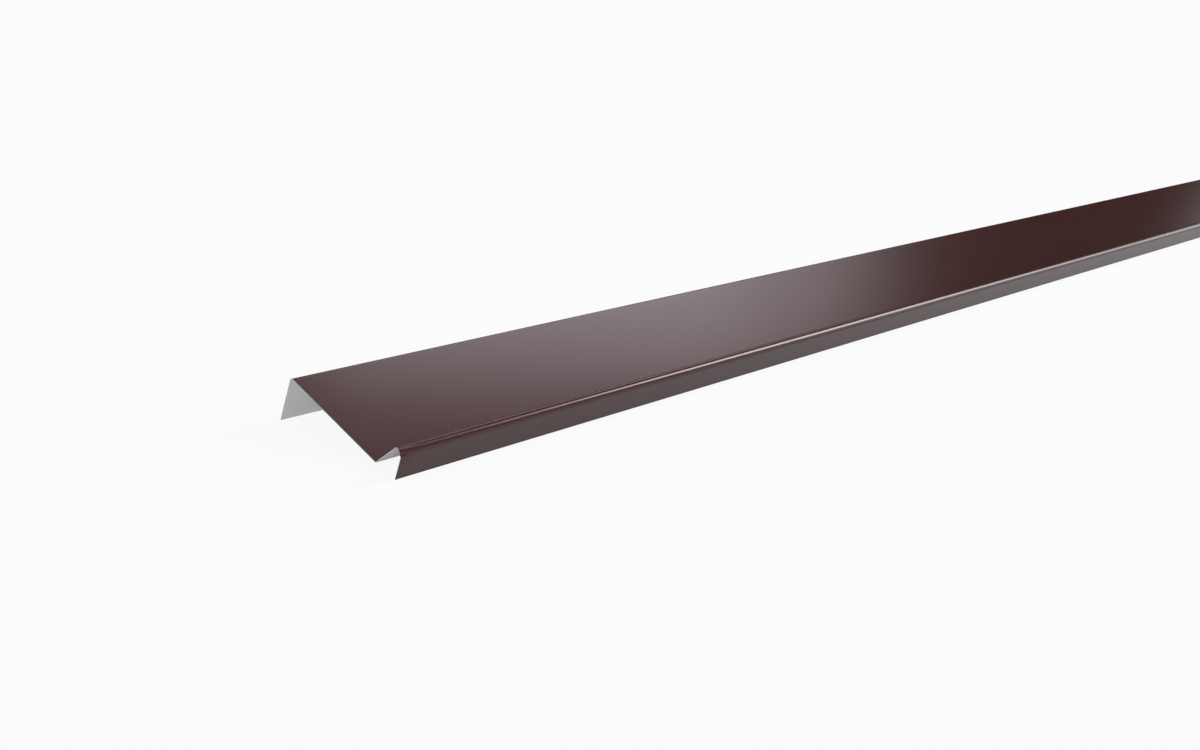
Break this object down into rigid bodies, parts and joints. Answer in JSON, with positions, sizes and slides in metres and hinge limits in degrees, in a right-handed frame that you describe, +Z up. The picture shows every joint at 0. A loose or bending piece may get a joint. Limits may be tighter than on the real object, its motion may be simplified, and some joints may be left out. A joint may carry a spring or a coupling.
{
  "type": "wall abutment flashing",
  "caption": "Folded strip of brown pre-painted steel sheet with a back flange, a broad sloping cover plate and a raised rounded ridge ending in a drop flange; seals a roof against a wall.",
  "frame": {"origin": "on the floor under the middle of the strip's bounding box", "axes": "+X along the strip's length, -Y towards the ridge and drop flange, +Z up from the floor the strip lies on"},
  "size_m": [2, 0.188, 0.0428],
  "materials": {
    "coated_sheet": "satin chocolate-brown coil coating on the weather face, pale grey back coat on the hidden face, bare cut edges"
  },
  "bodies": {
    "root": {"flashing_strip": "coated_sheet"}
  },
  "joints": []
}
